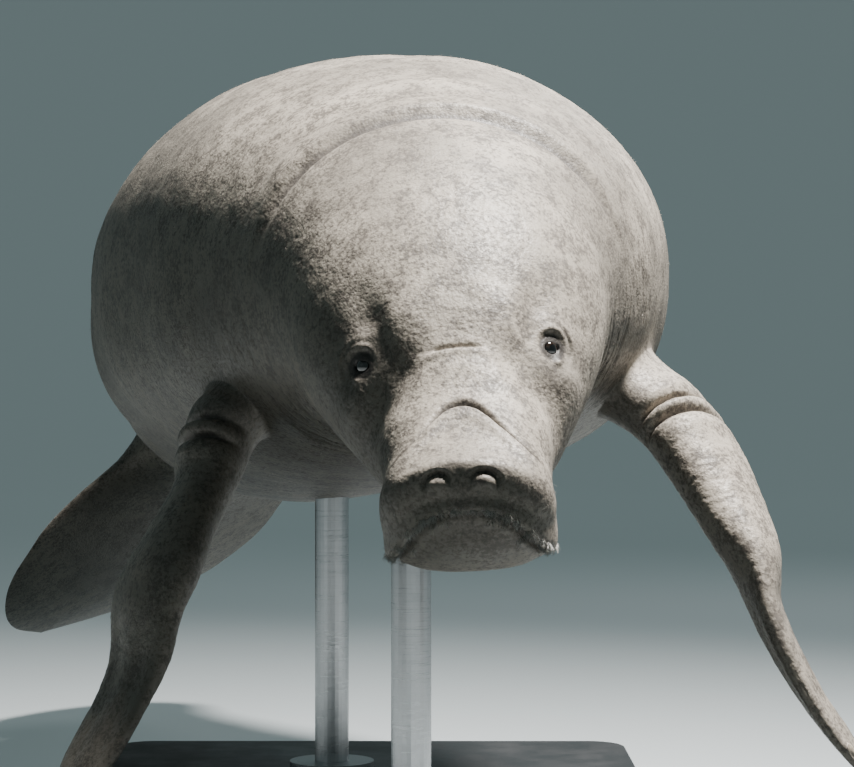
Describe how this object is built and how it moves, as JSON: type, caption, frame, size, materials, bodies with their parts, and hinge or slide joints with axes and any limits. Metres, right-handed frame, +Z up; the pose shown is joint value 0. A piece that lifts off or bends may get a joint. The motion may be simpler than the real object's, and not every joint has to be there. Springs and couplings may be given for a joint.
{
  "type": "life-size manatee museum model",
  "caption": "Still, life-size adult manatee gliding head-on and nose down, flippers hanging and tail paddle turned aside, held by two rods on a plain flat base.",
  "frame": {"origin": "on the floor, at the centre of the underside of the stand's base", "axes": "+X to the animal's left, +Y from the head towards the tail, away from the camera, +Z up"},
  "size_m": [1.3588, 2.5589, 1.1608],
  "materials": {
    "skin": "matt, thick wrinkled hide, beige-grey with fine brown-grey speckle",
    "eye": "wet gloss, near black",
    "nail": "dull horn",
    "stand_base": "satin dark grey paint",
    "stand_rod": "brushed"
  },
  "bodies": {
    "root": {"muzzle": "skin", "lower_jaw": "skin", "head": "skin", "neck": "skin", "chest": "skin", "torso": "skin", "tail_stock": "skin", "tail_paddle": "skin", "flipper_left": "skin", "flipper_right": "skin", "eye_left": "eye", "eye_right": "eye", "nail_left_1": "nail", "nail_left_2": "nail", "nail_left_3": "nail", "nail_right_1": "nail", "nail_right_2": "nail", "nail_right_3": "nail", "stand_base": "stand_base", "stand_rod_front": "stand_rod", "stand_rod_rear": "stand_rod"}
  },
  "joints": []
}
